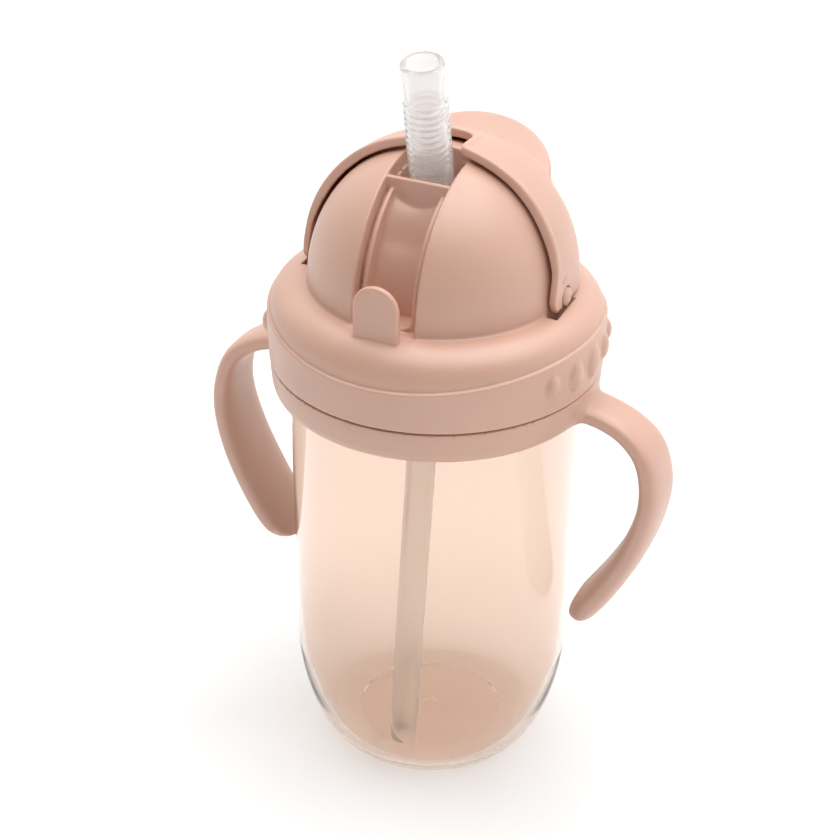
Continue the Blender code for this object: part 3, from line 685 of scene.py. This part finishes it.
def swept(name, route, finish, steps=48, sharp=50):
    """A tube from stations (centre, direction, outer radius, inner radius), with a ring at each end."""
    points, faces = [], []
    for centre, along, outer, inner in route:
        side = (Vector((1, 0, 0)) - along * along.x).normalized()
        forward = along.cross(side)
        for radius in (outer, inner):
            for j in range(steps):
                angle = 2 * pi * j / steps
                points.append(centre + (side * cos(angle) + forward * sin(angle)) * radius)
    ring = 2 * steps
    for i in range(len(route) - 1):
        for j in range(steps):
            k = (j + 1) % steps
            a, b = i * ring, (i + 1) * ring
            faces.append((a + j, a + k, b + k, b + j))
            faces.append((a + steps + k, a + steps + j, b + steps + j, b + steps + k))
    last = (len(route) - 1) * ring
    for j in range(steps):
        k = (j + 1) % steps
        faces.append((k, j, steps + j, steps + k))
        faces.append((last + j, last + k, last + steps + k, last + steps + j))
    return mesh_object(name, points, faces, finish, sharp)


def bezier(points, t):
    """The place and the direction of a cubic curve at t."""
    a, b, c, d = points
    u = 1 - t
    place = a * u ** 3 + b * 3 * t * u ** 2 + c * 3 * t ** 2 * u + d * t ** 3
    aim = (b - a) * u ** 2 + (c - b) * 2 * t * u + (d - c) * t ** 2
    return place, aim.normalized()


def spout_radii(s, rings_from, rings_to, count, end):
    """Outer and inner radius of the silicone spout at height s above the pocket floor's flange."""
    if s < rings_from:
        return 4.3, 3.0
    if s <= rings_to:
        phase = (s - rings_from) / (rings_to - rings_from) * count * 2 * pi
        wave = abs(sin(phase / 2)) ** 0.75
        return 4.6 + 0.36 * wave, 3.2 + 0.3 * wave
    share = (s - rings_to) / (end - rings_to)
    flare = 4.45 + 0.35 * share ** 2
    lip = max(0.0, (s - end + 0.6) / 0.6)
    return flare - 0.45 * (1 - sqrt(max(0.0, 1 - lip ** 2))), 3.3 + 0.1 * share + 0.35 * lip ** 2


def make_spout(finish):
    """The one-piece silicone spout: socket, flange, ringed stretch and mouth."""
    foot = Vector(STRAW_FOOT)
    lean = Vector((0, -sin(STRAW_LEAN), cos(STRAW_LEAN)))
    start = Vector((0, SOCKET_Y, 143.0))
    knee = foot + lean * 1.5
    bend = (start, start + Vector((0, 0, 3.2)), knee - lean * 3.2, knee)
    route = []
    up = Vector((0, 0, 1))
    # Height, outer and inner radius: the socket, the neck in the pocket's hole and the flange above it.
    low_part = ((SOCKET_END, 4.5, 3.6), (SOCKET_END + 0.4, 4.7, 3.6), (134.6, 4.9, 3.6), (135.0, 4.9, 3.0),
                (135.9, 4.9, 3.0), (136.0, 4.2, 3.0), (138.3, 4.2, 3.0), (138.35, 5.2, 3.0),
                (140.2, 5.2, 3.0), (140.8, 4.9, 3.0), (141.4, 4.4, 3.0))
    for height, outer, inner in low_part:
        route.append((Vector((0, SOCKET_Y, height)), up, outer, inner))
    span = (knee - start).length
    total = span + SPOUT_LENGTH - 1.5
    rings_from, rings_to, count = 3.0, span + 18.2, RING_COUNT
    steps = 330
    for i in range(steps + 1):
        s = total * i / steps
        outer, inner = spout_radii(s, rings_from, rings_to, count, total)
        if s < span:
            centre, along = bezier(bend, s / span)
        else:
            centre, along = knee + lean * (s - span), lean
        route.append((centre, along, outer, inner))
    return swept("silicone_spout", route, finish)


def make_dip_tube(finish):
    """The lower straw, from the spout's socket to just above the floor, cut on a slant."""
    top = Vector((0, SOCKET_Y, TUBE_TOP))
    end = Vector(TUBE_END)
    route = (top, top - Vector((0, 0, 35)), end + Vector((0, 2, 35)), end)
    stations = []
    for i in range(61):
        centre, along = bezier(route, i / 60)
        stations.append((centre, along, TUBE_RADIUS, TUBE_BORE))
    tube = swept("dip_tube", stations, finish, 48)
    lowest = stations[-1][0]
    along = stations[-1][1]
    for vertex in tube.data.vertices[-96:]:
        across = (vertex.co / MM - lowest).x
        vertex.co += along * (across - TUBE_RADIUS) * MM
    return tube


def make_seal(finish):
    low, high = RIM_HEIGHT + 0.3, SEAL_SEAT - 0.3
    outline = [(31.5, low), (34.3, low), (34.6, low + 0.2), (34.7, low + 0.6), (34.7, high - 0.6),
               (34.6, high - 0.2), (34.3, high), (31.5, high), (31.4, high - 0.1), (31.4, low + 0.1)]
    return lathe("lid_seal", outline, finish, 160)


# Materials -----------------------------------------------------------------------------------------------


class Finish:
    """A node material with short ways to add its noise layers."""

    def __init__(self, name):
        self.material = bpy.data.materials.new(name)
        self.material.use_nodes = True
        self.tree = self.material.node_tree
        self.shader = self.tree.nodes["Principled BSDF"]
        self.place = self.tree.nodes.new("ShaderNodeTexCoord").outputs["Object"]

    def set(self, **values):
        for name, value in values.items():
            self.shader.inputs[name.replace("_", " ")].default_value = value

    def noise(self, scale, detail=3.0, rough=0.55, stretch=None):
        node = self.tree.nodes.new("ShaderNodeTexNoise")
        node.inputs["Scale"].default_value = scale
        node.inputs["Detail"].default_value = detail
        node.inputs["Roughness"].default_value = rough
        source = self.place
        if stretch:
            mapping = self.tree.nodes.new("ShaderNodeMapping")
            mapping.inputs["Scale"].default_value = stretch
            self.tree.links.new(source, mapping.inputs["Vector"])
            source = mapping.outputs["Vector"]
        self.tree.links.new(source, node.inputs["Vector"])
        return node.outputs["Fac"]

    def ramp(self, factor, stops):
        node = self.tree.nodes.new("ShaderNodeValToRGB")
        for element, (place, color) in zip(node.color_ramp.elements, stops):
            element.position = place
            element.color = color
        self.tree.links.new(factor, node.inputs["Fac"])
        return node.outputs["Color"]

    def tint(self, factor, low, high, ends=(0.35, 0.65)):
        """A base colour that drifts between two tints."""
        stops = ((ends[0], (*low, 1)), (ends[1], (*high, 1)))
        self.join(self.ramp(factor, stops), "Base Color")

    def spread(self, factor, low, high, source=(0.3, 0.7)):
        node = self.tree.nodes.new("ShaderNodeMapRange")
        for name, value in zip(("From Min", "From Max", "To Min", "To Max"), (*source, low, high)):
            node.inputs[name].default_value = value
        self.tree.links.new(factor, node.inputs["Value"])
        return node.outputs["Result"]

    def bump(self, factor, strength, distance, under=None):
        node = self.tree.nodes.new("ShaderNodeBump")
        node.inputs["Strength"].default_value = strength
        node.inputs["Distance"].default_value = distance
        self.tree.links.new(factor, node.inputs["Height"])
        if under:
            self.tree.links.new(under, node.inputs["Normal"])
        return node.outputs["Normal"]

    def join(self, source, name):
        self.tree.links.new(source, self.shader.inputs[name])

    def lets_light_through(self, color):
        """Lamps shine through the clear material, so that its shadow stays pale."""
        clear = self.tree.nodes.new("ShaderNodeBsdfTransparent")
        clear.inputs["Color"].default_value = (*color, 1)
        path = self.tree.nodes.new("ShaderNodeLightPath")
        mix = self.tree.nodes.new("ShaderNodeMixShader")
        self.tree.links.new(path.outputs["Is Shadow Ray"], mix.inputs[0])
        self.tree.links.new(self.shader.outputs["BSDF"], mix.inputs[1])
        self.tree.links.new(clear.outputs["BSDF"], mix.inputs[2])
        self.tree.links.new(mix.outputs["Shader"], self.tree.nodes["Material Output"].inputs["Surface"])


def peach_plastic():
    """Satin moulded plastic with a fine spark-eroded grain and faint colour drift."""
    finish = Finish("peach_satin_plastic")
    drift = finish.noise(38, 2.0)
    finish.tint(drift, (0.635, 0.378, 0.283), (0.660, 0.398, 0.301))
    finish.join(finish.spread(finish.noise(160, 3.0), 0.41, 0.50), "Roughness")
    grain = finish.bump(finish.noise(5200, 2.0), 0.10, 0.00006)
    finish.join(finish.bump(finish.noise(70, 1.0), 0.05, 0.0006, grain), "Normal")
    finish.set(IOR=1.49, Specular_IOR_Level=0.85, Subsurface_Weight=0.22, Subsurface_Scale=0.0022)
    finish.set(Coat_Weight=0.35, Coat_Roughness=0.42)
    finish.shader.inputs["Subsurface Radius"].default_value = (1.0, 0.45, 0.28)
    return finish.material


def tinted_clear():
    """Clear copolyester with a peach tint, glossy, with the slight waviness of a blown wall."""
    finish = Finish("tinted_clear_plastic")
    drift = finish.noise(16, 1.0, stretch=(1, 1, 0.25))
    finish.tint(drift, (0.865, 0.750, 0.680), (0.875, 0.762, 0.694))
    finish.join(finish.spread(finish.noise(90, 3.0), 0.015, 0.04), "Roughness")
    finish.join(finish.bump(finish.noise(34, 1.0, stretch=(1, 1, 0.3)), 0.06, 0.0008), "Normal")
    finish.set(IOR=1.18, Transmission_Weight=1.0)
    finish.lets_light_through((0.995, 0.985, 0.975))
    return finish.material


def clear_silicone():
    """Milky clear silicone."""
    finish = Finish("clear_silicone")
    drift = finish.noise(120, 2.0)
    finish.tint(drift, (0.93, 0.915, 0.91), (0.955, 0.945, 0.94))
    finish.join(finish.spread(finish.noise(400, 3.0), 0.15, 0.22), "Roughness")
    finish.join(finish.bump(finish.noise(900, 2.0), 0.04, 0.0001), "Normal")
    finish.set(IOR=1.36, Transmission_Weight=0.82)
    finish.lets_light_through((0.86, 0.84, 0.83))
    return finish.material


def tube_silicone():
    """The frosted tube inside the cup."""
    finish = Finish("frosted_tube")
    drift = finish.noise(90, 2.0, stretch=(1, 1, 0.2))
    finish.tint(drift, (0.96, 0.945, 0.93), (0.98, 0.965, 0.95))
    finish.join(finish.spread(finish.noise(300, 3.0), 0.28, 0.38), "Roughness")
    finish.join(finish.bump(finish.noise(1200, 2.0), 0.08, 0.0001), "Normal")
    finish.set(IOR=1.2, Transmission_Weight=0.9)
    finish.lets_light_through((0.96, 0.94, 0.92))
    return finish.material


def seal_silicone():
    """Opaque soft silicone."""
    finish = Finish("seal_silicone")
    drift = finish.noise(140, 2.0)
    finish.tint(drift, (0.80, 0.73, 0.69), (0.84, 0.77, 0.73))
    finish.join(finish.spread(finish.noise(500, 3.0), 0.5, 0.62), "Roughness")
    finish.join(finish.bump(finish.noise(1500, 2.0), 0.1, 0.0001), "Normal")
    return finish.material


# The cup ------------------------------------------------------------------------------------------------


def place(piece, body, slot, *nodes):
    """Puts a piece on a body and hides the CAD nodes that it stands for. The slot is not used."""
    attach(piece, body)
    if nodes:
        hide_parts(*nodes)
    return piece


def make_cup():
    peach = peach_plastic()
    clear = tinted_clear()
    silicone = clear_silicone()
    place(make_tumbler(clear), "cup", "tumbler", "cup_body")
    place(make_neck_thread(clear), "cup", "tumbler")
    ring = moulded("handle_collar", handle_field(), (-60, -41, 38), (60, 41, 109), 0.55, peach)
    place(ring, "handles", "peach_plastic", "handle_ring")
    lid = moulded("lid_moulding", lid_field(), (-42, -42, 105), (42, 42, 159), 0.44, peach)
    place(lid, "lid", "peach_plastic", "lid")
    cover = moulded("straw_cover", cover_field(), (-34, -13, 124), (34, 42, 163), 0.4, peach)
    place(cover, "cover", "peach_plastic", "cover")
    place(make_seal(seal_silicone()), "seal", "seal", "lid_gasket")
    place(make_dip_tube(tube_silicone()), "lid", "straw_tube", "lower_straw")
    spout = make_spout(silicone)
    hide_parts("spout_mouthpiece", "spout_bellows", "spout_base")
    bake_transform(spout)


# Floor, light and camera ----------------------------------------------------------------------------------


def make_floor():
    """A wide sheet of white paper under the cup."""
    finish = Finish("paper_sweep")
    drift = finish.noise(3, 2.0)
    finish.tint(drift, (0.94, 0.94, 0.94), (0.96, 0.96, 0.96), (0.3, 0.7))
    finish.join(finish.spread(finish.noise(60, 2.0), 0.8, 0.9), "Roughness")
    finish.join(finish.bump(finish.noise(800, 3.0), 0.04, 0.0002), "Normal")
    size = 3.0
    mesh = bpy.data.meshes.new("floor")
    corners = [(-size, -size, 0), (size, -size, 0), (size, size, 0), (-size, size, 0)]
    mesh.from_pydata(corners, [], [(0, 1, 2, 3)])
    floor = bpy.data.objects.new("floor", mesh)
    mesh.materials.append(finish.material)
    bpy.context.collection.objects.link(floor)


def softbox(name, where, towards, size, power, color=(1, 1, 1)):
    light = bpy.data.lights.new(name, "AREA")
    light.shape = "RECTANGLE"
    light.size, light.size_y = size
    light.energy = power
    light.color = color
    holder = bpy.data.objects.new(name, light)
    holder.location = where
    holder.rotation_euler = (Vector(towards) - Vector(where)).to_track_quat("-Z", "Y").to_euler()
    bpy.context.collection.objects.link(holder)


def make_lights():
    world = bpy.data.worlds.new("studio")
    world.use_nodes = True
    nodes, links = world.node_tree.nodes, world.node_tree.links
    background = nodes["Background"]
    background.inputs["Color"].default_value = (1.0, 0.99, 0.98, 1)
    # White walls behind and beside the table, and a dim room in front of it.
    axes = nodes.new("ShaderNodeSeparateXYZ")
    links.new(nodes.new("ShaderNodeTexCoord").outputs["Generated"], axes.inputs["Vector"])
    fall = nodes.new("ShaderNodeMapRange")
    fall.interpolation_type = "SMOOTHSTEP"
    for name, value in (("From Min", -0.8), ("From Max", 0.4), ("To Min", 0.13), ("To Max", 1.0)):
        fall.inputs[name].default_value = value
    links.new(axes.outputs["Y"], fall.inputs["Value"])
    links.new(fall.outputs["Result"], background.inputs["Strength"])
    bpy.context.scene.world = world
    aim = (0, 0, 0.08)
    softbox("overhead", (0.10, 0.06, 1.3), aim, (1.5, 1.5), 17.5)
    bpy.context.scene.view_settings.view_transform = "Standard"


def make_camera():
    """A long lens from the front right, looking down on the cup."""
    turn, tip, distance = radians(23.9), radians(31.93), 0.41952
    aim_height = 0.082248
    right = Vector((cos(turn), sin(turn), 0))
    back = Vector((sin(turn) * cos(tip), -cos(turn) * cos(tip), sin(tip)))
    base = Matrix((right, back.cross(right), back))
    trim = (Matrix.Rotation(radians(-1.03), 3, "Z") @ Matrix.Rotation(radians(-0.60), 3, "X")
            @ Matrix.Rotation(radians(-0.51), 3, "Y"))
    camera = bpy.data.cameras.new("camera")
    camera.sensor_width = 36
    camera.lens = 75.3
    camera.clip_start = 0.01
    holder = bpy.data.objects.new("camera", camera)
    spot = Vector((0, 0, aim_height)) + back * distance
    holder.matrix_world = Matrix.Translation(spot) @ (trim @ base).transposed().to_4x4()
    bpy.context.collection.objects.link(holder)
    bpy.context.scene.camera = holder


make_camera()
make_floor()
make_lights()
make_cup()
